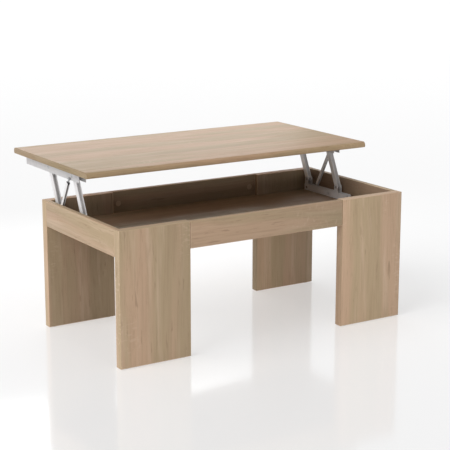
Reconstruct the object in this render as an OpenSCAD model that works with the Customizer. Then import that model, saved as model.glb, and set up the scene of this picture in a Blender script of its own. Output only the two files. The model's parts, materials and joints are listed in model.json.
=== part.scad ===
// Lift top coffee table, standing with its top raised.
// X runs along the length, Y along the depth and Z up. The origin is on the floor, under the
// middle of the base. The top lifts up and towards +Y on a lift unit at each end of the box.

/* [Table] */
// Length of the base and of the top, along X
table_length = 1000; // [900:10:1200]
// Depth of the base, along Y
base_depth = 500; // [480:5:600]
// Height of the rim of the box above the floor
rim_height = 404; // [380:1:460]
// Height of the box: aprons and end panels
box_height = 80; // [76:1:110]

/* [Boards] */
// Width of each slab leg, along X
leg_width = 230; // [160:5:260]
// Thickness of the slab legs
leg_thickness = 28; // [26:1:32]
// Thickness of the aprons and end panels
panel_thickness = 16; // [15:1:18]
// Thickness of the bottom panel
bottom_thickness = 12; // [10:1:12]
// Depth of the top, along Y
lid_depth = 510; // [490:5:620]
// Thickness of the top
lid_thickness = 18; // [18:1:25]
// Radius of the top's upper long edges
lid_upper_radius = 9; // [3:0.5:9]
// Radius of the top's lower long edges
lid_lower_radius = 5; // [2:0.5:6]
// Thickness of the edge bands on the top's short ends
band_thickness = 1; // [0.5:0.1:2]

/* [Lift] */
// How far the top moves back as it rises
lift_back = 195; // [190:1:200]
// Height of the upper pivots above the lower pivots when raised
pivot_rise = 125; // [120:1:130]
// Height of the lower pivots above the floor
base_pivot_z = 375; // [372:1:377]
// Distance of the front upper pivot behind the base's centre when raised
upper_pivot_y = 90; // [88:1:100]
// Distance between the front and rear arms
arm_spacing = 165; // [160:1:168]
// Depth of the upper pivots below the underside of the top
pivot_drop = 17; // [16:0.5:18]
// Gap between the rim and the underside of the closed top
closed_gap = 1.8; // [1.5:0.1:3]
// Distance from the end of the table to the middle of a lift unit
unit_inset = 37; // [36:0.5:45]

/* [Channels] */
// Thickness of the folded steel
steel = 1.4; // [1:0.1:1.6]
// Outer width of an arm
arm_width = 13.6; // [12:0.2:13.6]
// Depth of an arm, from its web to the edges of its flanges
arm_depth = 17; // [14:0.5:18]
// Inner width of the lower rail
lower_rail_gap = 15; // [14.6:0.2:15]
// Height of the lower rail's side walls
lower_rail_height = 21; // [18:1:22]
// Inner width of the upper rail
upper_rail_gap = 20.4; // [20:0.2:20.6]
// Height of the upper rail
upper_rail_height = 31; // [28:1:31]
// Length of the upper rail
upper_rail_length = 370; // [360:5:370]

/* [Strut] */
// Outer width of the strut's channel
strut_width = 7.6; // [7:0.2:7.6]
// Depth of the strut's channel
strut_depth = 10; // [8:0.5:10]
// Thickness of the strut's bar
bar_thickness = 3; // [2.6:0.1:3]
// Depth of the strut's bar
bar_depth = 5; // [4:0.5:5.5]
// Length from the lower eye to the mouth of the channel
strut_channel_length = 148; // [145:1:148]
// Length of the bar from the upper eye
strut_bar_length = 141; // [139:1:144]
// Distance of the strut's plane outside the middle of the lift unit
strut_offset = 16.6; // [16.6:0.1:16.8]

/* [Hardware] */
// Diameter of the pivot pins
pin_d = 6; // [5:0.5:6]
// Diameter of the strut's studs
stud_d = 5; // [4:0.5:5]
// Diameter of the wood screws
screw_d = 3.5; // [3:0.5:4]
// Diameter of the dowels in the box's joints
dowel_d = 8; // [6:1:8]
// Diameter of a cam lock
cam_d = 15; // [12:1:15]
// Diameter of a floor glide
glide_d = 20; // [16:1:24]
// Thickness of a floor glide
glide_height = 2.5; // [2:0.5:4]

/* [Hidden] */
$fn = 48;

oak = [0.80, 0.68, 0.55];
oak_end = [0.84, 0.73, 0.60];
paint = [0.86, 0.86, 0.85];
zinc = [0.70, 0.71, 0.72];
beech = [0.86, 0.74, 0.56];
nylon = [0.93, 0.93, 0.90];
rubber = [0.16, 0.16, 0.16];
cap_plastic = [0.76, 0.64, 0.50];

// Solids that rest against each other keep this much air where one slides past the other.
running = 0.05;
over = 1;

half_length = table_length / 2;
half_depth = base_depth / 2;
box_floor = rim_height - box_height;
leg_inner_x = half_length - leg_width;
leg_inner_y = half_depth - leg_thickness;
panel_inner_x = half_length - panel_thickness;
apron_inner_y = half_depth - panel_thickness;

// The lift: each arm swings between a lean back (raised) and lying forwards (closed).
lid_under = base_pivot_z + pivot_rise + pivot_drop;
lift_height = lid_under - rim_height - closed_gap;
arm_back = (pow(lift_back, 2) + pow(lift_height, 2) - 2 * pivot_rise * lift_height)
    / (2 * lift_back);
arm_length = norm([arm_back, pivot_rise]);
arm_lean = atan2(arm_back, pivot_rise);
upper_pivot_z = base_pivot_z + pivot_rise;
base_pivot_y = upper_pivot_y - arm_back;
unit_x = half_length - unit_inset;
lid_y = lift_back;

// Rails. The lower one starts well ahead of the front pivot and ends just behind the rear one.
lower_rail_lead = 57;
lower_rail_tail = 12;
rail_clearance = 1;
lower_wall = lower_rail_gap / 2 + steel;
lower_rail_z = box_floor + bottom_thickness + rail_clearance;
lower_rail_front = base_pivot_y - lower_rail_lead;
lower_rail_back = base_pivot_y + arm_spacing + lower_rail_tail;
ear_r = 9;
upper_rail_lead = 152;
upper_wall = upper_rail_gap / 2 + steel;
upper_rail_front = lid_y - upper_rail_lead;

// Screws of both rails, and the bumpers under the top.
screw_head_d = 7;
screw_head_h = 2.1;
screw_bite = 12;
driver_d = screw_head_d + 2;
rail_screw_inset = 12;
rail_screw_ys = [
    lower_rail_front + rail_screw_inset,
    lower_rail_front + 100,
    lower_rail_back - rail_screw_inset
];
rail_screw_z = lower_rail_z + 10;
spacer_d = 8;
top_screw_ys = [-140, -20, 120, 205];
bumper_h = closed_gap - 0.3;
bumper_d = 10;
bumper_inset = 115;

// Pivots. The toe on an arm's upper end stops it against the upper rail's web.
rivet_head_d = 10;
base_rivet_head = 0.8;
upper_rivet_head = 0.6;
washer_d = 14;
washer_play = 0.1;
web_end = 5;
toe_r = 2;
toe_gap = 0.2;
toe_turn = 15;

// The strut's upper stud hangs from the top. Its lower stud lies on the circle that the arms
// give the upper one, about the upper stud's own centre of swing. The strut then turns at
// exactly half the rate of the arms.
strut_stud_back = 8;
strut_stud_drop = 9.5;
strut_base_rise = 11;
strut_upper_y = upper_pivot_y + strut_stud_back;
strut_upper_z = upper_pivot_z - strut_stud_drop;
strut_base_z = lower_rail_z + strut_base_rise;
swing_y = strut_upper_y - arm_back;
swing_z = strut_upper_z - pivot_rise;
strut_base_y = swing_y + sqrt(pow(arm_length, 2) - pow(swing_z - strut_base_z, 2));
strut_lean = atan2(strut_base_y - strut_upper_y, strut_upper_z - strut_base_z);
strut_eye = 3;
strut_wall = 1;
strut_block_end = 17;
channel_eye_d = 11;
channel_neck = 6;
channel_start = 11;
bar_eye_d = 9;
bar_start = 3.5;
guide_length = 6;
guide_lip = 2;
slide_play = 0.2;
stud_collar_d = stud_d + 3;
stud_head = 1;
eye_play = 0.3;

// Joints of the box.
dowel_bite = 18;
leg_dowel_bite = 16;
dowel_zs = [box_floor + 16, rim_height - 16];
thin_dowel_d = 6;
thin_dowel_bite = 10;
bottom_dowel_xs = [60, 200];
bottom_dowel_y = 120;
cam_inset = 24;
cam_depth = 12;
cam_z = box_floor + box_height / 2;
cam_recess = [8, 3, 1.6];
cap_d = cam_d + 3;
cap_h = 0.8;
bolt_d = 6;
bolt_play = 0.2;
bolt_bite = 12;
glide_inset = 22;
glide_bevel = 1;
glide_nail_d = 2;
glide_nail_length = 14;

// A cylinder along X or along Y, from one coordinate to another.
module rod_x(d, x0, x1) {
    translate([x0, 0, 0])
        rotate([0, 90, 0])
            cylinder(h = x1 - x0, d = d);
}

module rod_y(d, y0, y1) {
    translate([0, y0, 0])
        rotate([-90, 0, 0])
            cylinder(h = y1 - y0, d = d);
}

// Each child once in each of the four quarters of the table.
module quarters() {
    for (sx = [0, 1], sy = [0, 1])
        mirror([sx, 0, 0])
            mirror([0, sy, 0])
                children();
}

// The children at one end of the table. They are drawn for the right-hand end.
module right() {
    children();
}

module left() {
    mirror([1, 0, 0])
        children();
}

module both_ends() {
    right() children();
    left() children();
}

// A flat profile drawn in Y and Z, as a plate between two X coordinates.
module plate(x0, x1) {
    translate([x0, 0, 0])
        rotate([90, 0, 90])
            linear_extrude(x1 - x0)
                children();
}

// ---- joints of the box, as the space they take in the boards ----

module apron_dowel_space() {
    for (z = dowel_zs)
        translate([0, half_depth - panel_thickness / 2, z])
            rod_x(dowel_d, leg_inner_x - dowel_bite, leg_inner_x + dowel_bite);
}

module end_dowel_space() {
    for (z = dowel_zs)
        translate([half_length - panel_thickness / 2, 0, z])
            rod_y(dowel_d, leg_inner_y - dowel_bite, leg_inner_y + leg_dowel_bite);
}

module apron_bottom_dowel_space() {
    for (x = bottom_dowel_xs)
        translate([x, 0, box_floor + bottom_thickness / 2])
            rod_y(thin_dowel_d, apron_inner_y - dowel_bite, apron_inner_y + thin_dowel_bite);
}

module end_bottom_dowel_space() {
    translate([0, bottom_dowel_y, box_floor + bottom_thickness / 2])
        rod_x(thin_dowel_d, panel_inner_x - dowel_bite, panel_inner_x + thin_dowel_bite);
}

module apron_cam_space() {
    translate([leg_inner_x - cam_inset, 0, cam_z])
        rod_y(cam_d, apron_inner_y, apron_inner_y + cam_depth);
}

module end_cam_space() {
    translate([0, leg_inner_y - cam_inset, cam_z])
        rod_x(cam_d, panel_inner_x, panel_inner_x + cam_depth);
}

// Cross recesses in the faces of the cams.
module apron_cam_recess(size) {
    translate([leg_inner_x - cam_inset, apron_inner_y, cam_z])
        for (turn = [0, 90])
            rotate([0, turn, 0])
                translate([-size.x / 2, -over, -size.z / 2])
                    cube([size.x, size.y + over, size.z]);
}

module end_cam_recess(size) {
    translate([panel_inner_x, leg_inner_y - cam_inset, cam_z])
        for (turn = [0, 90])
            rotate([turn, 0, 0])
                translate([-over, -size.x / 2, -size.z / 2])
                    cube([size.y + over, size.x, size.z]);
}

module apron_bolt_space(d) {
    translate([0, half_depth - panel_thickness / 2, cam_z])
        rod_x(d, leg_inner_x - cam_inset + 1, leg_inner_x + bolt_bite);
}

module end_bolt_space(d) {
    translate([half_length - panel_thickness / 2, 0, cam_z])
        rod_y(d, leg_inner_y - cam_inset + 1, leg_inner_y + bolt_bite);
}

module box_joint_holes() {
    quarters() {
        apron_dowel_space();
        end_dowel_space();
        apron_bottom_dowel_space();
        end_bottom_dowel_space();
        apron_cam_space();
        end_cam_space();
        apron_bolt_space(bolt_d);
        end_bolt_space(bolt_d);
    }
}

module at_glides() {
    for (x = [leg_inner_x + glide_inset, half_length - glide_inset])
        translate([x, leg_inner_y + leg_thickness / 2, 0])
            children();
}

module glide_nail() {
    translate([0, 0, glide_height])
        cylinder(h = glide_nail_length, d = glide_nail_d);
}

// ---- boards ----

module leg(sx, sy) {
    color(oak)
        difference() {
            translate([
                sx > 0 ? leg_inner_x : -half_length,
                sy > 0 ? leg_inner_y : -half_depth,
                glide_height
            ])
                cube([leg_width, leg_thickness, rim_height - glide_height]);
            box_joint_holes();
            quarters()
                at_glides()
                    glide_nail();
        }
}

module leg_front_left() {
    leg(-1, -1);
}

module leg_front_right() {
    leg(1, -1);
}

module leg_rear_left() {
    leg(-1, 1);
}

module leg_rear_right() {
    leg(1, 1);
}

module apron() {
    color(oak)
        difference() {
            translate([-leg_inner_x, apron_inner_y, box_floor])
                cube([2 * leg_inner_x, panel_thickness, box_height]);
            box_joint_holes();
        }
}

module rear_apron() {
    apron();
}

module front_apron() {
    mirror([0, 1, 0])
        apron();
}

module end_panel() {
    color(oak)
        difference() {
            translate([panel_inner_x, -leg_inner_y, box_floor])
                cube([panel_thickness, 2 * leg_inner_y, box_height]);
            box_joint_holes();
            at_rail_screws()
                rod_x(screw_d, 0, panel_inner_x - unit_x + screw_bite);
        }
}

module end_panel_right() {
    right() end_panel();
}

module end_panel_left() {
    left() end_panel();
}

module bottom_panel() {
    color(oak)
        difference() {
            translate([0, 0, box_floor])
                linear_extrude(bottom_thickness) {
                    square([2 * leg_inner_x, 2 * apron_inner_y], center = true);
                    square([2 * panel_inner_x, 2 * leg_inner_y], center = true);
                }
            box_joint_holes();
        }
}

// ---- joining hardware of the box ----

module apron_dowels() {
    color(beech)
        quarters()
            apron_dowel_space();
}

module end_dowels() {
    color(beech)
        quarters()
            end_dowel_space();
}

module bottom_dowels() {
    color(beech)
        quarters() {
            apron_bottom_dowel_space();
            end_bottom_dowel_space();
        }
}

// Each cam is a disc with a slot for the bolt's neck and a cross recess in its face.
module cam_locks() {
    color(zinc)
        quarters() {
            difference() {
                apron_cam_space();
                apron_bolt_space(bolt_d + bolt_play);
                apron_cam_recess(cam_recess);
            }
            difference() {
                end_cam_space();
                end_bolt_space(bolt_d + bolt_play);
                end_cam_recess(cam_recess);
            }
        }
}

module cam_bolts() {
    color(zinc)
        quarters() {
            apron_bolt_space(bolt_d - bolt_play);
            end_bolt_space(bolt_d - bolt_play);
        }
}

// Thin caps over the cams, on the inside of the box.
module cam_caps() {
    color(cap_plastic)
        quarters() {
            translate([leg_inner_x - cam_inset, 0, cam_z])
                rod_y(cap_d, apron_inner_y - cap_h, apron_inner_y);
            translate([0, leg_inner_y - cam_inset, cam_z])
                rod_x(cap_d, panel_inner_x - cap_h, panel_inner_x);
        }
}

module floor_glides() {
    color(nylon)
        quarters()
            at_glides() {
                cylinder(h = glide_height, d1 = glide_d - 2 * glide_bevel, d2 = glide_d);
                glide_nail();
            }
}

// ---- lift units: what stays with the box ----

module at_unit() {
    translate([unit_x, 0, 0])
        children();
}

module at_base_pivots() {
    for (y = [base_pivot_y, base_pivot_y + arm_spacing])
        translate([unit_x, y, base_pivot_z])
            children();
}

module at_rail_screws() {
    for (y = rail_screw_ys)
        translate([unit_x, y, rail_screw_z])
            children();
}

module at_strut_base() {
    translate([unit_x, strut_base_y, strut_base_z])
        children();
}

// Side wall of the lower rail: a long strip with an ear at each base pivot.
module lower_wall_profile() {
    translate([lower_rail_front, lower_rail_z])
        square([lower_rail_back - lower_rail_front, lower_rail_height]);
    for (y = [base_pivot_y, base_pivot_y + arm_spacing]) {
        translate([y, base_pivot_z])
            circle(r = ear_r);
        translate([y - ear_r, lower_rail_z])
            square([2 * ear_r, base_pivot_z - lower_rail_z]);
    }
}

module lower_rail() {
    color(paint)
        difference() {
            at_unit() {
                plate(lower_rail_gap / 2, lower_wall)
                    lower_wall_profile();
                plate(-lower_wall, -lower_rail_gap / 2)
                    lower_wall_profile();
                translate([-lower_wall, lower_rail_front, lower_rail_z])
                    cube([2 * lower_wall, lower_rail_back - lower_rail_front, steel]);
            }
            at_base_pivots()
                rod_x(pin_d, -lower_wall - over, lower_wall + over);
            at_rail_screws() {
                rod_x(screw_d, 0, lower_wall + over);
                rod_x(driver_d, -lower_wall - over, 0);
            }
            at_strut_base()
                rod_x(stud_d, 0, lower_wall + over);
        }
}

module lower_rail_right() {
    right() lower_rail();
}

module lower_rail_left() {
    left() lower_rail();
}

module rail_spacers() {
    color(zinc)
        both_ends()
            at_rail_screws()
                difference() {
                    rod_x(spacer_d, lower_wall, panel_inner_x - unit_x);
                    rod_x(screw_d, 0, panel_inner_x);
                }
}

module rail_screws() {
    color(zinc)
        both_ends()
            at_rail_screws() {
                rod_x(screw_d, lower_rail_gap / 2 - 0.5, panel_inner_x - unit_x + screw_bite);
                rod_x(screw_head_d, lower_rail_gap / 2 - screw_head_h, lower_rail_gap / 2);
            }
}

// A riveted pin with a flat head at each end.
module rivet(half_grip, head) {
    rod_x(pin_d, -half_grip, half_grip);
    for (s = [0, 1])
        mirror([s, 0, 0])
            rod_x(rivet_head_d, half_grip, half_grip + head);
}

module base_pivot_pins() {
    color(zinc)
        both_ends()
            at_base_pivots()
                rivet(lower_wall, base_rivet_head);
}

module washer_pair(inner, outer) {
    for (s = [0, 1])
        mirror([s, 0, 0])
            difference() {
                rod_x(washer_d, inner, outer);
                rod_x(pin_d + 2 * running, inner - over, outer + over);
            }
}

module base_washers() {
    color(nylon)
        both_ends()
            at_base_pivots()
                washer_pair(arm_width / 2 + washer_play, lower_rail_gap / 2);
}

// A stud through a rail's outer wall, with a shoulder, a journal for the strut's eye and a head.
module strut_stud(wall_inner, wall_outer) {
    shoulder = strut_offset - strut_eye / 2 - eye_play;
    head_start = strut_offset + strut_eye / 2 + eye_play;
    rod_x(stud_d, wall_inner, head_start);
    rod_x(stud_collar_d, wall_outer, shoulder);
    rod_x(stud_collar_d, head_start, head_start + stud_head);
}

module strut_base_studs() {
    color(zinc)
        both_ends()
            at_strut_base() {
                strut_stud(lower_rail_gap / 2, lower_wall);
                rod_x(stud_collar_d, lower_rail_gap / 2 - base_rivet_head, lower_rail_gap / 2);
            }
}

// ---- arms ----

// Side flange of an arm, drawn with the lower pivot at the origin and the arm along its second
// axis. The toe at the upper end meets the upper rail's web and stops the arm when raised.
module flange_profile() {
    toe_reach = pivot_drop - steel - toe_r - toe_gap;
    for (z = [0, arm_length])
        translate([0, z])
            circle(d = arm_depth);
    translate([-arm_depth / 2, 0])
        square([arm_depth, arm_length]);
    translate([0, arm_length])
        rotate(toe_turn + arm_lean) {
            translate([-toe_r, 0])
                square([2 * toe_r, toe_reach]);
            translate([0, toe_reach])
                circle(r = toe_r);
        }
}

module arm(y) {
    color(paint)
        translate([unit_x, y, base_pivot_z])
            rotate([-arm_lean, 0, 0])
                difference() {
                    union() {
                        plate(arm_width / 2 - steel, arm_width / 2)
                            flange_profile();
                        plate(-arm_width / 2, -arm_width / 2 + steel)
                            flange_profile();
                        translate([-arm_width / 2, arm_depth / 2 - steel, web_end])
                            cube([arm_width, steel, arm_length - 2 * web_end]);
                    }
                    for (z = [0, arm_length])
                        translate([0, 0, z])
                            rod_x(pin_d + 2 * running, -arm_width, arm_width);
                }
}

module front_arm_right() {
    right() arm(base_pivot_y);
}

module front_arm_left() {
    left() arm(base_pivot_y);
}

module rear_arm_right() {
    right() arm(base_pivot_y + arm_spacing);
}

module rear_arm_left() {
    left() arm(base_pivot_y + arm_spacing);
}

// ---- the top and what is fixed to it ----

module at_top_screws() {
    for (y = top_screw_ys)
        translate([unit_x, lid_y + y, lid_under])
            children();
}

module lid_profile() {
    half = lid_depth / 2;
    upper_y = half - lid_upper_radius;
    upper_z = lid_thickness - lid_upper_radius;
    lower_y = half - lid_lower_radius;
    for (s = [-1, 1]) {
        translate([s * upper_y, upper_z])
            circle(r = lid_upper_radius);
        translate([s * lower_y, lid_lower_radius])
            circle(r = lid_lower_radius);
    }
    translate([-upper_y, 0])
        square([2 * upper_y, lid_thickness]);
    translate([-lower_y, 0])
        square([2 * lower_y, lid_lower_radius]);
    translate([-half, lid_lower_radius])
        square([lid_depth, upper_z - lid_lower_radius]);
}

module top_panel() {
    color(oak)
        difference() {
            translate([0, lid_y, lid_under])
                plate(-half_length + band_thickness, half_length - band_thickness)
                    lid_profile();
            both_ends()
                at_top_screws()
                    cylinder(h = screw_bite, d = screw_d);
        }
}

module top_end_bands() {
    color(oak_end)
        both_ends()
            translate([0, lid_y, lid_under])
                plate(half_length - band_thickness, half_length)
                    lid_profile();
}

module top_bumpers() {
    color(rubber)
        translate([0, lid_y, lid_under - bumper_h])
            quarters()
                translate([half_length - bumper_inset, leg_inner_y + leg_thickness / 2, 0])
                    cylinder(h = bumper_h, d = bumper_d);
}

module at_upper_pivots() {
    for (y = [upper_pivot_y, upper_pivot_y + arm_spacing])
        translate([unit_x, y, upper_pivot_z])
            children();
}

module at_strut_upper() {
    translate([unit_x, strut_upper_y, strut_upper_z])
        children();
}

// An inverted channel: two cheeks and a web against the underside of the top.
module upper_rail() {
    color(paint)
        difference() {
            translate([unit_x - upper_wall, upper_rail_front, lid_under - upper_rail_height])
                cube([2 * upper_wall, upper_rail_length, upper_rail_height]);
            translate([
                unit_x - upper_rail_gap / 2,
                upper_rail_front - over,
                lid_under - upper_rail_height - over
            ])
                cube([
                    upper_rail_gap,
                    upper_rail_length + 2 * over,
                    upper_rail_height - steel + over
                ]);
            at_upper_pivots()
                rod_x(pin_d, -upper_wall - over, upper_wall + over);
            at_strut_upper()
                rod_x(stud_d, 0, upper_wall + over);
            at_top_screws()
                translate([0, 0, -steel - over])
                    cylinder(h = steel + 2 * over, d = screw_d);
        }
}

module upper_rail_right() {
    right() upper_rail();
}

module upper_rail_left() {
    left() upper_rail();
}

module top_screws() {
    color(zinc)
        both_ends()
            at_top_screws() {
                translate([0, 0, -steel - 0.5])
                    cylinder(h = screw_bite + steel + 0.5, d = screw_d);
                translate([0, 0, -steel - screw_head_h])
                    cylinder(h = screw_head_h, d = screw_head_d);
            }
}

module upper_pivot_pins() {
    color(zinc)
        both_ends()
            at_upper_pivots()
                rivet(upper_wall, upper_rivet_head);
}

module upper_spacers() {
    color(nylon)
        both_ends()
            at_upper_pivots()
                washer_pair(arm_width / 2 + washer_play, upper_rail_gap / 2);
}

module strut_upper_studs() {
    color(zinc)
        both_ends()
            at_strut_upper()
                strut_stud(upper_rail_gap / 2, upper_wall);
}

// ---- telescopic struts, drawn along Z from their own eye ----

module eye(d) {
    rod_x(d, -strut_eye / 2, strut_eye / 2);
}

module eye_hole() {
    rod_x(stud_d + 2 * running, -strut_eye, strut_eye);
}

module on_strut_base() {
    translate([unit_x + strut_offset, strut_base_y, strut_base_z])
        rotate([strut_lean, 0, 0])
            children();
}

module on_strut_upper() {
    translate([unit_x + strut_offset, strut_upper_y, strut_upper_z])
        rotate([strut_lean, 0, 0])
            children();
}

// A block between two X, two Y and two Z coordinates.
module block(x0, x1, y0, y1, z0, z1) {
    translate([x0, y0, z0])
        cube([x1 - x0, y1 - y0, z1 - z0]);
}

// The outer half: a folded channel, open to the front, with a flat eye at its lower end.
module strut_channel() {
    half = strut_width / 2;
    edge = strut_depth / 2;
    color(paint)
        on_strut_base()
            difference() {
                union() {
                    eye(channel_eye_d);
                    block(
                        -strut_eye / 2, strut_eye / 2,
                        -channel_neck / 2, channel_neck / 2,
                        0, strut_block_end
                    );
                    block(-half, half, -edge, edge, channel_start, strut_channel_length);
                }
                eye_hole();
                block(
                    -half + strut_wall, half - strut_wall,
                    -edge - over, edge - strut_wall,
                    strut_block_end, strut_channel_length + over
                );
            }
}

module strut_channel_right() {
    right() strut_channel();
}

module strut_channel_left() {
    left() strut_channel();
}

// The guide in the channel's mouth that the bar slides through.
module strut_guide() {
    half = strut_width / 2;
    edge = strut_depth / 2;
    start = strut_channel_length - guide_length;
    slot_x = bar_thickness / 2 + slide_play;
    slot_y = bar_depth / 2 + slide_play;
    color(rubber)
        on_strut_base()
            difference() {
                union() {
                    block(
                        -half + strut_wall, half - strut_wall,
                        -edge, edge - strut_wall,
                        start, strut_channel_length
                    );
                    block(
                        -half, half, -edge, edge,
                        strut_channel_length, strut_channel_length + guide_lip
                    );
                }
                block(
                    -slot_x, slot_x, -slot_y, slot_y,
                    start - over, strut_channel_length + guide_lip + over
                );
            }
}

module strut_guide_right() {
    right() strut_guide();
}

module strut_guide_left() {
    left() strut_guide();
}

// The bar, with its eye at the top and a slider at the end inside the channel.
module strut_bar() {
    slider_x = strut_width / 2 - strut_wall - 0.3;
    slider_y = strut_depth / 2 - strut_wall - 0.5;
    color(zinc)
        on_strut_upper()
            difference() {
                union() {
                    eye(bar_eye_d);
                    block(
                        -bar_thickness / 2, bar_thickness / 2,
                        -bar_depth / 2, bar_depth / 2,
                        -strut_bar_length, -bar_start
                    );
                    block(
                        -slider_x, slider_x, -slider_y, slider_y,
                        -strut_bar_length, -strut_bar_length + guide_length
                    );
                }
                eye_hole();
            }
}

module strut_bar_right() {
    right() strut_bar();
}

module strut_bar_left() {
    left() strut_bar();
}

leg_front_left();
leg_front_right();
leg_rear_left();
leg_rear_right();
front_apron();
rear_apron();
end_panel_left();
end_panel_right();
bottom_panel();
apron_dowels();
end_dowels();
bottom_dowels();
cam_locks();
cam_bolts();
cam_caps();
floor_glides();
lower_rail_left();
lower_rail_right();
rail_spacers();
rail_screws();
base_pivot_pins();
base_washers();
strut_base_studs();
front_arm_left();
front_arm_right();
rear_arm_left();
rear_arm_right();
top_panel();
top_end_bands();
top_bumpers();
upper_rail_left();
upper_rail_right();
top_screws();
upper_pivot_pins();
upper_spacers();
strut_upper_studs();
strut_channel_left();
strut_channel_right();
strut_guide_left();
strut_guide_right();
strut_bar_left();
strut_bar_right();
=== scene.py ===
"""Looks for the lift top coffee table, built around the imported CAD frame. Lengths are in metres."""

import json
import math

import bmesh
import bpy
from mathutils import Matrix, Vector


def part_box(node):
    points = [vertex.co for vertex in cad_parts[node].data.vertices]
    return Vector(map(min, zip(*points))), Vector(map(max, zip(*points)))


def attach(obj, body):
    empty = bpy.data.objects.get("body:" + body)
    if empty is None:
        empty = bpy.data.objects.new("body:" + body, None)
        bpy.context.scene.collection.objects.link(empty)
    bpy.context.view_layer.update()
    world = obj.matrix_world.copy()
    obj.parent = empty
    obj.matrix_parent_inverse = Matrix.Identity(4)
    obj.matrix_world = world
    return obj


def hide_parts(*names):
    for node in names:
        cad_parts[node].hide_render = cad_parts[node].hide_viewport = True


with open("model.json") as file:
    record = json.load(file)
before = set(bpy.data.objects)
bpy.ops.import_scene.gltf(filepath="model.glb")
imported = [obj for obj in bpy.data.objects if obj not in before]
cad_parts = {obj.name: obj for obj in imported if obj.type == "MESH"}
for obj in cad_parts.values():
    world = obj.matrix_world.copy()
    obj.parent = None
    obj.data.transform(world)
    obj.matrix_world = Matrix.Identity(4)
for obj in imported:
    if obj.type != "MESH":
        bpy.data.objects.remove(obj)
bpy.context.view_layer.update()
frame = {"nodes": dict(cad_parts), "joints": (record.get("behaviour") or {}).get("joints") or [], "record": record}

MM = 0.001
AXES = "XYZ"


# ---------------------------------------------------------------- camera

CAMERA_PLACE = (-2.208, -3.514, 1.282)
CAMERA_YAW = math.radians(32.18)
CAMERA_PITCH = math.radians(13.18)
CAMERA_SENSOR = 36.0
CAMERA_LENS = 109.7
CAMERA_REACH = 200.0


def make_camera():
    """The photograph's view: low, from the front left, with a long lens."""
    looking = Vector((
        math.sin(CAMERA_YAW) * math.cos(CAMERA_PITCH),
        math.cos(CAMERA_YAW) * math.cos(CAMERA_PITCH),
        -math.sin(CAMERA_PITCH),
    ))
    data = bpy.data.cameras.new("camera")
    data.sensor_width = CAMERA_SENSOR
    data.lens = CAMERA_LENS
    data.clip_end = CAMERA_REACH
    camera = bpy.data.objects.new("camera", data)
    camera.location = CAMERA_PLACE
    camera.rotation_euler = looking.to_track_quat("-Z", "Y").to_euler()
    bpy.context.scene.collection.objects.link(camera)
    bpy.context.scene.camera = camera


# ---------------------------------------------------------------- node helpers

class Tree:
    """A material's node tree with short calls for the nodes used here."""

    def __init__(self, name):
        self.material = bpy.data.materials.new(name)
        self.material.use_nodes = True
        self.nodes = self.material.node_tree.nodes
        self.links = self.material.node_tree.links
        self.nodes.clear()
        output = self.nodes.new("ShaderNodeOutputMaterial")
        self.shader = self.nodes.new("ShaderNodeBsdfPrincipled")
        self.links.new(self.shader.outputs[0], output.inputs["Surface"])

    def put(self, socket, value):
        """Links a socket, or sets the value if it is a plain one."""
        if isinstance(value, bpy.types.NodeSocket):
            self.links.new(value, socket)
        else:
            socket.default_value = value

    def coords(self, scale=(1, 1, 1), offset=(0, 0, 0)):
        """Object coordinates, multiplied by scale along each axis and then moved."""
        source = self.nodes.new("ShaderNodeTexCoord")
        mapping = self.nodes.new("ShaderNodeMapping")
        mapping.vector_type = "POINT"
        mapping.inputs["Scale"].default_value = scale
        mapping.inputs["Location"].default_value = offset
        self.links.new(source.outputs["Object"], mapping.inputs["Vector"])
        return mapping.outputs[0]

    def noise(self, vector, scale, detail=3.0, roughness=0.5, distortion=0.0):
        """Noise from 0 to 1, with about scale blotches to each metre of vector."""
        node = self.nodes.new("ShaderNodeTexNoise")
        self.links.new(vector, node.inputs["Vector"])
        node.inputs["Scale"].default_value = scale
        node.inputs["Detail"].default_value = detail
        node.inputs["Roughness"].default_value = roughness
        node.inputs["Distortion"].default_value = distortion
        return node.outputs["Fac"]

    def span(self, value, low, high, out_low=0.0, out_high=1.0):
        """Maps low..high smoothly to out_low..out_high, clamped."""
        node = self.nodes.new("ShaderNodeMapRange")
        node.interpolation_type = "SMOOTHSTEP"
        self.put(node.inputs["Value"], value)
        node.inputs["From Min"].default_value = low
        node.inputs["From Max"].default_value = high
        node.inputs["To Min"].default_value = out_low
        node.inputs["To Max"].default_value = out_high
        return node.outputs["Result"]

    def math(self, kind, a, b):
        """The result of one operation on a and b, each a socket or a number."""
        node = self.nodes.new("ShaderNodeMath")
        node.operation = kind
        self.put(node.inputs[0], a)
        self.put(node.inputs[1], b)
        return node.outputs[0]

    def mix(self, factor, a, b, blend="MIX"):
        """Colour a with b over it at factor. A colour is a socket or three numbers."""
        node = self.nodes.new("ShaderNodeMix")
        node.data_type = "RGBA"
        node.blend_type = blend
        self.put(node.inputs[0], factor)
        for socket, value in ((node.inputs[6], a), (node.inputs[7], b)):
            self.put(socket, value if isinstance(value, bpy.types.NodeSocket) else (*value, 1.0))
        return node.outputs[2]

    def bump(self, height, distance, strength):
        """Relief for the shader, up to distance deep."""
        node = self.nodes.new("ShaderNodeBump")
        node.inputs["Distance"].default_value = distance
        node.inputs["Strength"].default_value = strength
        self.links.new(height, node.inputs["Height"])
        self.links.new(node.outputs[0], self.shader.inputs["Normal"])

    def finish(self, colour, roughness, metallic=0.0, specular=0.5):
        """Sets the shader's own values and returns the material."""
        if not isinstance(colour, bpy.types.NodeSocket):
            colour = (*colour, 1.0)
        self.put(self.shader.inputs["Base Color"], colour)
        self.put(self.shader.inputs["Roughness"], roughness)
        self.shader.inputs["Metallic"].default_value = metallic
        self.shader.inputs["Specular IOR Level"].default_value = specular
        return self.material


# ---------------------------------------------------------------- materials

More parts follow.
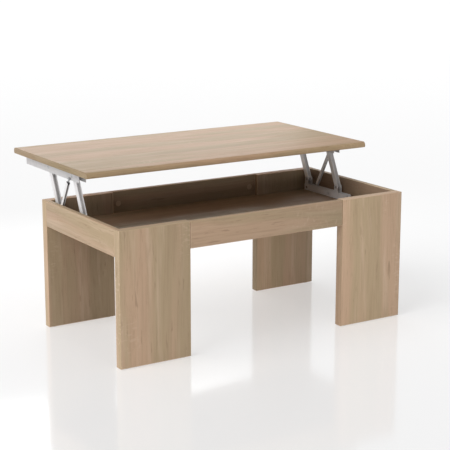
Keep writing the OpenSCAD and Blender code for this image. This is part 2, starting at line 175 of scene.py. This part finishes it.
OAK_PINK = (0.580, 0.400, 0.270)
OAK_OLIVE = (0.500, 0.375, 0.238)
OAK_PALE = (0.680, 0.515, 0.370)
OAK_DARK = (0.300, 0.195, 0.120)
BOX_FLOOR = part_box("bottom_panel")[1].z


def oak(name, grain, seed, light=1.0, sway=0.06, painted_box_shade=None, tint=(1.0, 1.0, 1.0)):
    """Light oak foil: broad tonal bands, fine streaks, short dark dashes and pale rays.

    grain: the axis that the wood runs along
    light, tint: what its colours are multiplied by
    sway: how far the figure wanders across the grain
    painted_box_shade: takes over from light above the box's floor, on a face that is inside the box there, as
    painted shade of the box
    """
    t = Tree(name)
    along = AXES.index(grain)
    offset = (seed * 1.37, seed * 2.11, seed * 0.73)

    def stretched(ratio):
        """Coordinates that make a figure 1 / ratio times as long along the grain."""
        scale = [1.0, 1.0, 1.0]
        scale[along] = ratio
        return t.coords(scale, offset)

    def swayed(ratio, amount):
        """Stretched coordinates that wander sideways a little, so that no line is straight."""
        wander = t.noise(stretched(0.35), scale=5.0, detail=2.0)
        bent = t.nodes.new("ShaderNodeVectorMath")
        bent.operation = "ADD"
        t.links.new(stretched(ratio), bent.inputs[0])
        t.links.new(t.math("MULTIPLY", wander, amount), bent.inputs[1])
        return bent.outputs[0]

    lines = swayed(0.06, sway)
    bands = t.noise(lines, scale=12.0, detail=2.0, roughness=0.45)
    tones = t.noise(lines, scale=27.0, detail=3.0, roughness=0.60)
    streaks = t.noise(swayed(0.030, 0.6 * sway), scale=190.0, detail=4.0, roughness=0.65)
    pores = t.noise(stretched(0.022), scale=1100.0, detail=2.0)
    dashes = t.noise(stretched(0.12), scale=120.0, detail=2.0, distortion=0.4)
    rays = t.noise(stretched(2.4), scale=55.0, detail=2.0, distortion=0.6)
    clusters = t.noise(stretched(0.30), scale=11.0, detail=2.0)

    colour = t.mix(t.span(bands, 0.42, 0.58), OAK_PINK, OAK_OLIVE)
    # Each row lays one more colour over the last. Its share goes from at_low to at_high as
    # the figure goes from low to high.
    for figure, low, high, at_low, at_high, over in (
        (tones, 0.50, 0.72, 0.0, 0.55, OAK_PALE),
        (tones, 0.26, 0.48, 0.20, 0.0, OAK_DARK),
        (streaks, 0.36, 0.52, 0.20, 0.0, OAK_DARK),
        (pores, 0.60, 0.72, 0.0, 0.22, OAK_DARK),
        (dashes, 0.64, 0.74, 0.0, 0.45, OAK_DARK),
    ):
        colour = t.mix(t.span(figure, low, high, at_low, at_high), colour, over)
    in_cluster = t.span(clusters, 0.55, 0.66)
    shown = t.math("MULTIPLY", in_cluster, t.span(rays, 0.54, 0.66, 0.0, 0.35))
    colour = t.mix(shown, colour, OAK_PALE)

    shade = tuple(light * c for c in tint)
    # Above the box's floor, an inside face's foil is painted darker: painted shade of the box.
    if painted_box_shade:
        split = t.nodes.new("ShaderNodeSeparateXYZ")
        t.links.new(t.coords(), split.inputs[0])
        shade = t.span(split.outputs["Z"], BOX_FLOOR - MM, BOX_FLOOR, light, painted_box_shade)
    colour = t.mix(1.0, colour, shade, "MULTIPLY")

    relief = t.math("SUBTRACT", streaks, t.span(pores, 0.58, 0.72))
    t.bump(relief, distance=0.08 * MM, strength=0.6)
    return t.finish(colour, t.span(streaks, 0.3, 0.7, 0.52, 0.42), specular=0.22)


def painted_steel(name, colour):
    """Light grey powder coat with a fine orange peel and faint handling marks."""
    t = Tree(name)
    place = t.coords()
    peel = t.noise(place, scale=1500.0, detail=2.0)
    marks = t.noise(place, scale=45.0, detail=4.0, roughness=0.6)
    worn = tuple(0.86 * c for c in colour)
    tone = t.mix(t.span(marks, 0.50, 0.75, 0.0, 0.6), colour, worn)
    t.bump(peel, distance=0.04 * MM, strength=0.5)
    return t.finish(tone, t.span(marks, 0.3, 0.7, 0.34, 0.48))


def zinc(name, colour):
    """Zinc plate with a cloudy, lightly scratched finish."""
    t = Tree(name)
    cloud = t.noise(t.coords(), scale=160.0)
    scratch = t.noise(t.coords((40, 400, 40)), scale=9.0, detail=2.0)
    dull = tuple(0.72 * c for c in colour)
    tone = t.mix(t.span(cloud, 0.40, 0.65), colour, dull)
    t.bump(scratch, distance=0.02 * MM, strength=0.4)
    return t.finish(tone, t.span(cloud, 0.3, 0.7, 0.26, 0.44), metallic=1.0)


def plastic(name, colour, rough=0.5):
    """Moulded plastic or rubber with a fine spark texture."""
    t = Tree(name)
    grain = t.noise(t.coords(), scale=1900.0, detail=2.0)
    shade = t.noise(t.coords(), scale=70.0, detail=2.0)
    deep = tuple(0.9 * c for c in colour)
    tone = t.mix(t.span(shade, 0.3, 0.7), colour, deep)
    t.bump(grain, distance=0.03 * MM, strength=0.5)
    return t.finish(tone, t.span(grain, 0.3, 0.7, rough - 0.06, rough + 0.08), specular=0.4)


def beech(name):
    """Plain beech, in two tones of fine lines."""
    t = Tree(name)
    lines = t.noise(t.coords((60, 60, 900)), scale=1.0, detail=2.0)
    tone = t.mix(t.span(lines, 0.35, 0.65), (0.60, 0.42, 0.24), (0.70, 0.53, 0.33))
    return t.finish(tone, 0.6)


# ---------------------------------------------------------------- pieces

SMOOTH_BELOW = math.radians(38)


def make_piece(name, bm, body, materials, replaces=()):
    """Turns a bmesh into an object that rides on a CAD body."""
    bmesh.ops.recalc_face_normals(bm, faces=bm.faces[:])
    for face in bm.faces:
        face.smooth = True
    for edge in bm.edges:
        edge.smooth = edge.calc_face_angle(0) < SMOOTH_BELOW
    mesh = bpy.data.meshes.new(name)
    bm.to_mesh(mesh)
    bm.free()
    for material in materials:
        mesh.materials.append(material)
    piece = bpy.data.objects.new(name, mesh)
    bpy.context.scene.collection.objects.link(piece)
    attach(piece, body)
    if replaces:
        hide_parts(*replaces)


# ---------------------------------------------------------------- boards of the base

BAND = 1.5 * MM
BAND_RADIUS = 1.2 * MM
# The edge band is lighter than its face: painted light on the lit edges.
BAND_LIGHT = 1.12
FOIL_RADIUS = 0.18 * MM
APRON_JOINT = 0.8 * MM
# How light an inside face's foil is: painted shade of the box.
INNER_PAINTED_SHADE = 0.52
PANEL_SWAY = 0.20


def rounded_box(lo, hi, radius):
    """A box between two corners with every edge rounded."""
    bm = bmesh.new()
    bmesh.ops.create_cube(bm, size=1.0)
    bmesh.ops.scale(bm, vec=hi - lo, verts=bm.verts[:])
    bmesh.ops.translate(bm, vec=(hi + lo) / 2, verts=bm.verts[:])
    bmesh.ops.bevel(bm, geom=bm.edges[:], offset=radius, segments=2, profile=0.5, affect="EDGES")
    return bm


def band_section(half_depth, steps=4):
    """Outline of an edge band: flat inside, with its two outer corners rounded."""
    points = [(-BAND, -half_depth), (-BAND, half_depth)]
    for side in (1, -1):
        for i in range(steps + 1):
            turn = math.radians(90 * i / steps)
            if side < 0:
                turn = math.radians(90) - turn
            out = -BAND_RADIUS + BAND_RADIUS * math.sin(turn)
            deep = half_depth - BAND_RADIUS + BAND_RADIUS * math.cos(turn)
            points.append((out, side * deep))
    return points


def edging(lo, hi, thin):
    """A ring of edge band round the four edges of a board. thin is its thin axis, 0, 1 or 2."""
    middle, half = (lo + hi) / 2, (hi - lo) / 2
    u, v = [axis for axis in range(3) if axis != thin]
    bm = bmesh.new()
    corners = ((-1, -1), (1, -1), (1, 1), (-1, 1))
    rings = []
    for out, deep in band_section(half[thin]):
        ring = []
        for su, sv in corners:
            place = Vector(middle)
            place[u] += su * (half[u] + out)
            place[v] += sv * (half[v] + out)
            place[thin] += deep
            ring.append(bm.verts.new(place))
        rings.append(ring)
    for k, ring in enumerate(rings):
        following = rings[(k + 1) % len(rings)]
        for i in range(4):
            j = (i + 1) % 4
            face = bm.faces.new((ring[i], ring[j], following[j], following[i]))
            face.material_index = i % 2
    return bm


def board(node, thin, grain, seed, light, inner, sway=0.06, gap=0.0, upright_light=BAND_LIGHT):
    """A foiled board of the base with a ring of edge band, standing for one CAD board.

    thin, grain: the axes that its thickness and its grain run along
    light: how light its foil is
    inner: side (-1 or 1 along thin), light and painted_box_shade of the face with a foil of its own, painted
    darker as shade of the box
    gap: the dark joint left at its two ends along X
    upright_light: how light the band on its upright edges is, against its face
    """
    across = AXES.index(thin)
    lo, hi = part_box(node)
    lo.x += gap
    hi.x -= gap
    shrink = Vector((BAND,) * 3)
    shrink[across] = 0
    core = rounded_box(lo + shrink, hi - shrink, FOIL_RADIUS)
    side, inner_light, painted_box_shade = inner
    foils = [
        oak(node + "_foil", grain, seed, light, sway),
        oak(node + "_inner_foil", grain, seed + 0.3, inner_light, sway, painted_box_shade),
    ]
    bmesh.ops.recalc_face_normals(core, faces=core.faces[:])
    for face in core.faces:
        if face.normal[across] * side > 0.9:
            face.material_index = 1
    make_piece(node + "_core", core, "base", foils, [node])
    u, v = [axis for axis in AXES if axis != thin]
    bands = [
        oak(node + "_band_" + u, u, seed + 0.5, light * BAND_LIGHT),
        oak(node + "_band_" + v, v, seed + 0.7, light * upright_light),
    ]
    make_piece(node + "_edging", edging(lo, hi, across), "base", bands)


def build_boards():
    """The legs, aprons and end panels. An inner face has a darker foil: painted shade of the box."""
    for leg, seed, light, side, under_light, upright_light in (
        ("leg_front_left", 3.0, 0.97, 1, 0.97, BAND_LIGHT),
        # The right legs' upright bands, 0.88 and 0.80, are darker than BAND_LIGHT: painted shade.
        ("leg_front_right", 5.3, 1.07, 1, 1.0, 0.88),
        # The rear left leg's inner face is 0.82 light below the box's floor: painted shade under the box.
        ("leg_rear_left", 7.6, 1.0, -1, 0.82, BAND_LIGHT),
        ("leg_rear_right", 9.9, 1.0, -1, 1.0, 0.80),
    ):
        inner = (side, under_light, INNER_PAINTED_SHADE)
        board(leg, "Y", "Z", seed, light, inner, upright_light=upright_light)
    for apron, seed, light, side in (
        ("front_apron", 14.2, 0.88, 1),
        ("rear_apron", 17.9, 0.95, -1),
    ):
        board(apron, "Y", "X", seed, light, (side, INNER_PAINTED_SHADE, None), gap=APRON_JOINT)
    for panel, seed, light, side in (
        ("end_panel_left", 21.4, 1.0, 1),
        ("end_panel_right", 25.8, 0.95, -1),
    ):
        board(panel, "X", "Y", seed, light, (side, INNER_PAINTED_SHADE, None), PANEL_SWAY)


# ---------------------------------------------------------------- top

UPPER_RADIUS = 9 * MM
LOWER_RADIUS = 5 * MM
PANEL_INSET = 0.15 * MM
BAND_INSET = 0.4 * MM


def lid_profile(lo, hi, steps=8):
    """Outline of the top in Y and Z, with its long edges rounded."""
    upper, lower = UPPER_RADIUS, LOWER_RADIUS

    def arc(y, z, radius, start):
        turns = [math.radians(start + 90 * i / steps) for i in range(steps + 1)]
        return [(y + radius * math.cos(turn), z + radius * math.sin(turn)) for turn in turns]

    points = arc(hi.y - upper, hi.z - upper, upper, 0)
    points += arc(lo.y + upper, hi.z - upper, upper, 90)
    points += arc(lo.y + lower, lo.z + lower, lower, 180)
    points += arc(hi.y - lower, lo.z + lower, lower, 270)
    return points


def extruded(points, x0, x1, inset):
    """A YZ outline between two X values. The outline shrinks by inset at both ends."""
    middle_y = sum(p[0] for p in points) / len(points)
    middle_z = sum(p[1] for p in points) / len(points)
    bm = bmesh.new()

    def ring(x, by):
        verts = []
        for y, z in points:
            y -= math.copysign(min(by, abs(y - middle_y)), y - middle_y)
            z -= math.copysign(min(by, abs(z - middle_z)), z - middle_z)
            verts.append(bm.verts.new((x, y, z)))
        return verts

    rings = [ring(x0, inset), ring(x0 + inset, 0), ring(x1 - inset, 0), ring(x1, inset)]
    for a, b in zip(rings, rings[1:]):
        for i in range(len(points)):
            j = (i + 1) % len(points)
            bm.faces.new((a[i], a[j], b[j], b[i]))
    bm.faces.new(rings[0][::-1])
    bm.faces.new(rings[-1])
    return bm


def build_top():
    """The top's foiled board and the band on each of its ends."""
    lo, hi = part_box("top_panel")
    outer_lo, outer_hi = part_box("top_end_bands")
    points = lid_profile(lo, hi)
    foil = oak("top_foil", "X", 31.3, 0.96, tint=(1.0, 0.955, 0.88))
    band = oak("top_band_Y", "Y", 35.1, 0.70, tint=(0.96, 1.0, 0.92))
    for name, x0, x1, inset, slot, material, replaces in (
        ("top_panel_board", lo.x, hi.x, PANEL_INSET, "oak_board", foil, ["top_panel"]),
        ("top_band_left", outer_lo.x, lo.x, BAND_INSET, "oak_band", band, ["top_end_bands"]),
        ("top_band_right", hi.x, outer_hi.x, BAND_INSET, "oak_band", band, ()),
    ):
        make_piece(name, extruded(points, x0, x1, inset), "top", [material], replaces)


# ---------------------------------------------------------------- turned parts

PIN_RADIUS = 3 * MM
BASE_RIVET_HEAD = 0.8 * MM
UPPER_RIVET_HEAD = 0.6 * MM

SCREW_RADIUS = 1.75 * MM
SCREW_POINT = 3 * MM
SCREW_HEAD = 2.1 * MM
SCREW_HEAD_RADIUS = 3.5 * MM
# Along Y, from the middle of the top
SCREW_PLACES = (-140 * MM, -20 * MM, 120 * MM, 205 * MM)


def turned(profile, places, axis, steps=24):
    """One solid of revolution at each place, along X or Z.

    A profile entry is (distance along the axis, radius, depth of four lobes).
    """
    bm = bmesh.new()
    circle = [math.tau * i / steps for i in range(steps)]
    for centre in places:
        rings = []
        for along, radius, lobes in profile:
            ring = []
            for turn in circle if radius else circle[:1]:
                r = radius * (1 + lobes * math.cos(4 * turn))
                across = (r * math.cos(turn), r * math.sin(turn))
                offset = (along, *across) if axis == "X" else (*across, along)
                ring.append(bm.verts.new(centre + Vector(offset)))
            rings.append(ring)
        for a, b in zip(rings, rings[1:]):
            for i in range(steps):
                j = (i + 1) % steps
                corners = [a[i % len(a)], a[j % len(a)], b[j % len(b)], b[i % len(b)]]
                bm.faces.new(list(dict.fromkeys(corners)))
    return bm


def pivot(name):
    """Place of a joint of the frame, at rest."""
    joint = next(j for j in frame["joints"] if j["name"] == name)
    return Vector(joint["pos_m"])


def rivet_profile(half, head, radius):
    """A pin with a domed head at each end, out to half on both sides."""
    dome = [(0.0, 0.0), (0.0, 0.45 * radius), (0.35 * head, 0.82 * radius), (head, radius)]
    left = [(x - half, r, 0) for x, r in dome] + [(head - half, PIN_RADIUS, 0)]
    return left + [(-x, r, 0) for x, r, _ in reversed(left)]


def build_rivets(metal):
    """The pins that the arms turn on, in the base and in the top."""
    spacing = pivot("rear_arm_left_swing").y - pivot("lift").y
    for node, body, front, head in (
        ("base_pivot_pins", "base", pivot("lift"), BASE_RIVET_HEAD),
        ("upper_pivot_pins", "top", pivot("top_level"), UPPER_RIVET_HEAD),
    ):
        lo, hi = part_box(node)
        places = [
            Vector((side * front.x, front.y + back, front.z))
            for side in (-1, 1)
            for back in (0, spacing)
        ]
        profile = rivet_profile(hi.x + front.x, head, (hi.z - lo.z) / 2)
        rivets = turned(profile, places, "X")
        make_piece(node + "_domed", rivets, body, [metal], [node])


def screw_profile(length):
    """A pan head with a cross recess, its top at 0, and a pointed shank."""
    recess = [(0.9 * MM, 0, 0), (0.8 * MM, 0.5 * MM, 0.3), (0.12 * MM, 1.25 * MM, 0.45)]
    head = [
        (0.0, 1.9 * MM, 0),
        (0.45 * MM, 2.9 * MM, 0),
        (1.2 * MM, SCREW_HEAD_RADIUS, 0),
        (SCREW_HEAD, 0.97 * SCREW_HEAD_RADIUS, 0),
    ]
    shank = [
        (SCREW_HEAD, SCREW_RADIUS, 0),
        (length - SCREW_POINT, SCREW_RADIUS, 0),
        (length, 0, 0),
    ]
    return recess + head + shank


def build_screws(metal):
    """The screws that hold the upper rails to the top, from below."""
    lo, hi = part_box("top_screws")
    top_lo, top_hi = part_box("top_panel")
    unit_x = -pivot("lift").x
    top_middle = (top_lo.y + top_hi.y) / 2
    places = [
        Vector((side * unit_x, top_middle + along, lo.z))
        for side in (-1, 1)
        for along in SCREW_PLACES
    ]
    screws = turned(screw_profile(hi.z - lo.z), places, "Z")
    make_piece("top_screws_headed", screws, "top", [metal], ["top_screws"])


# ---------------------------------------------------------------- what stays as it is in CAD

SAME_PLACE = 0.005 * MM
FLAT_BELOW = math.radians(0.5)
SHARP_ABOVE = math.radians(50)
SOFT_EDGES = {
    "front_arm": 0.55 * MM,
    "rear_arm": 0.55 * MM,
    "lower_rail": 0.5 * MM,
    "upper_rail": 0.6 * MM,
    "strut_channel": 0.35 * MM,
    "strut_bar": 0.3 * MM,
    "strut_guide": 0.3 * MM,
    "cam_caps": 0.3 * MM,
    "bottom_panel": 0.3 * MM,
    "top_bumpers": 0.4 * MM,
}


def soften(piece, width):
    """Rounds the sharp edges of a CAD node with modifiers, which leave its own mesh alone."""
    mesh = piece.data
    if "custom_normal" in mesh.attributes:
        mesh.attributes.remove(mesh.attributes["custom_normal"])
    mesh.shade_smooth()
    weld = piece.modifiers.new("weld", "WELD")
    weld.merge_threshold = SAME_PLACE
    flat = piece.modifiers.new("flat faces", "DECIMATE")
    flat.decimate_type = "DISSOLVE"
    flat.angle_limit = FLAT_BELOW
    bevel = piece.modifiers.new("bevel", "BEVEL")
    bevel.width = width
    bevel.segments = 2
    bevel.limit_method = "ANGLE"
    bevel.angle_limit = SHARP_ABOVE
    piece.modifiers.new("normals", "WEIGHTED_NORMAL")


def paint_nodes():
    """Gives each CAD node its material and softens its edges. Returns the materials by slot."""
    by_slot = {
        # The bottom panel's oak is 0.54 light: painted shade inside the box.
        "oak_board": oak("plain_oak", "X", 41.0, 0.54),
        "oak_band": oak("plain_band", "Y", 43.0),
        "dowel_wood": beech("beech"),
        "white_steel": painted_steel("arm_paint_painted_light", (0.88, 0.87, 0.87)),
        "zinc_steel": zinc("zinc", (0.56, 0.57, 0.58)),
        "nylon": plastic("nylon", (0.74, 0.73, 0.68)),
        "cap_plastic": plastic("cap_plastic", (0.42, 0.31, 0.215)),
        "black_plastic": plastic("black_plastic", (0.03, 0.03, 0.03)),
        "bumper_rubber": plastic("bumper_rubber", (0.045, 0.045, 0.045), 0.75),
    }
    # The rails' paint is a darker copy of the arms' paint, as painted shade; the arms' paint is made lighter, as
    # painted light.
    rail_paint_painted_shade = painted_steel("rail_paint_painted_shade", (0.66, 0.65, 0.655))
    slots = {s["node"]: s["material_slot"] for s in frame["record"]["subparts"]}
    for node, piece in frame["nodes"].items():
        is_rail = node.startswith(("lower_rail", "upper_rail"))
        piece.data.materials.clear()
        piece.data.materials.append(rail_paint_painted_shade if is_rail else by_slot[slots[node]])
        for start, width in SOFT_EDGES.items():
            if node.startswith(start):
                soften(piece, width)
    return by_slot


# ---------------------------------------------------------------- floor and light

WHITE = (1.0, 1.0, 1.0, 1.0)
FLOOR_COLOUR = (0.64, 0.64, 0.645)
FLOOR_RADIUS = 60.0
# Glow when seen, when mirrored and as light on a surface: a softer light than they show
FLOOR_GLOW = (0.43, 0.43, 0.21)
WALL_GLOW = (0.97, 0.74, 0.27)
KEY_POWER = 1.78
KEY_ANGLE = math.radians(50)
KEY_DIRECTION = Vector((0.80, 0.06, -0.58))


def by_ray(nodes, links, seen, mirrored, lighting):
    """A strength for each way light arrives: seen directly, mirrored, or lighting a surface."""
    path = nodes.new("ShaderNodeLightPath")
    strength = seen
    for ray, value in (("Is Glossy Ray", mirrored), ("Is Diffuse Ray", lighting)):
        choice = nodes.new("ShaderNodeMapRange")
        links.new(path.outputs[ray], choice.inputs["Value"])
        if isinstance(strength, bpy.types.NodeSocket):
            links.new(strength, choice.inputs["To Min"])
        else:
            choice.inputs["To Min"].default_value = strength
        choice.inputs["To Max"].default_value = value
        strength = choice.outputs["Result"]
    return strength


def build_floor():
    """A wide pale floor with a soft gloss."""
    bm = bmesh.new()
    bmesh.ops.create_circle(bm, cap_ends=True, segments=96, radius=FLOOR_RADIUS)
    mesh = bpy.data.meshes.new("floor")
    bm.to_mesh(mesh)
    bm.free()
    floor = bpy.data.objects.new("floor", mesh)
    bpy.context.scene.collection.objects.link(floor)
    t = Tree("floor")
    t.shader.inputs["Emission Color"].default_value = WHITE
    t.put(t.shader.inputs["Emission Strength"], by_ray(t.nodes, t.links, *FLOOR_GLOW))
    mesh.materials.append(t.finish(FLOOR_COLOUR, 0.11, specular=0.75))


def build_world():
    """Plain white surroundings. Colours are shown as they are, with no film curve."""
    world = bpy.data.worlds.new("studio")
    bpy.context.scene.world = world
    world.use_nodes = True
    nodes, links = world.node_tree.nodes, world.node_tree.links
    background = nodes["Background"]
    background.inputs["Color"].default_value = WHITE
    links.new(by_ray(nodes, links, *WALL_GLOW), background.inputs["Strength"])
    bpy.context.scene.view_settings.view_transform = "Standard"


def soft_panel(name, place, aim, size, power, mirrored):
    """A lit panel that shines on the table and isn't seen itself, except as gloss if mirrored."""
    light = bpy.data.lights.new(name, "AREA")
    light.shape = "RECTANGLE"
    light.size, light.size_y = size
    light.energy = power
    panel = bpy.data.objects.new(name, light)
    panel.location = place
    panel.rotation_euler = (Vector(aim) - Vector(place)).to_track_quat("-Z", "Y").to_euler()
    panel.visible_camera = False
    panel.visible_glossy = mirrored
    bpy.context.scene.collection.objects.link(panel)


def build_lights():
    """A broad key light from the left, and three soft panels."""
    sun = bpy.data.lights.new("key", "SUN")
    sun.energy = KEY_POWER
    sun.angle = KEY_ANGLE
    key = bpy.data.objects.new("key", sun)
    key.rotation_euler = KEY_DIRECTION.to_track_quat("-Z", "Y").to_euler()
    bpy.context.scene.collection.objects.link(key)
    for name, place, aim, size, power, mirrored in (
        ("front_panel", (-0.95, -7.0, 0.45), (0.0, 0.0, 0.20), (3.5, 1.1), 122.0, False),
        ("rear_panel", (0.25, 1.35, 1.00), (0.0, 0.30, 0.53), (1.8, 0.5), 6.0, True),
        ("overhead_panel", (0.0, 0.6, 2.6), (0.0, 0.2, 0.5), (2.2, 1.4), 2.5, False),
    ):
        soft_panel(name, place, aim, size, power, mirrored)


make_camera()
build_floor()
build_world()
build_lights()
finishes = paint_nodes()
build_boards()
build_top()
build_rivets(finishes["zinc_steel"])
build_screws(finishes["zinc_steel"])
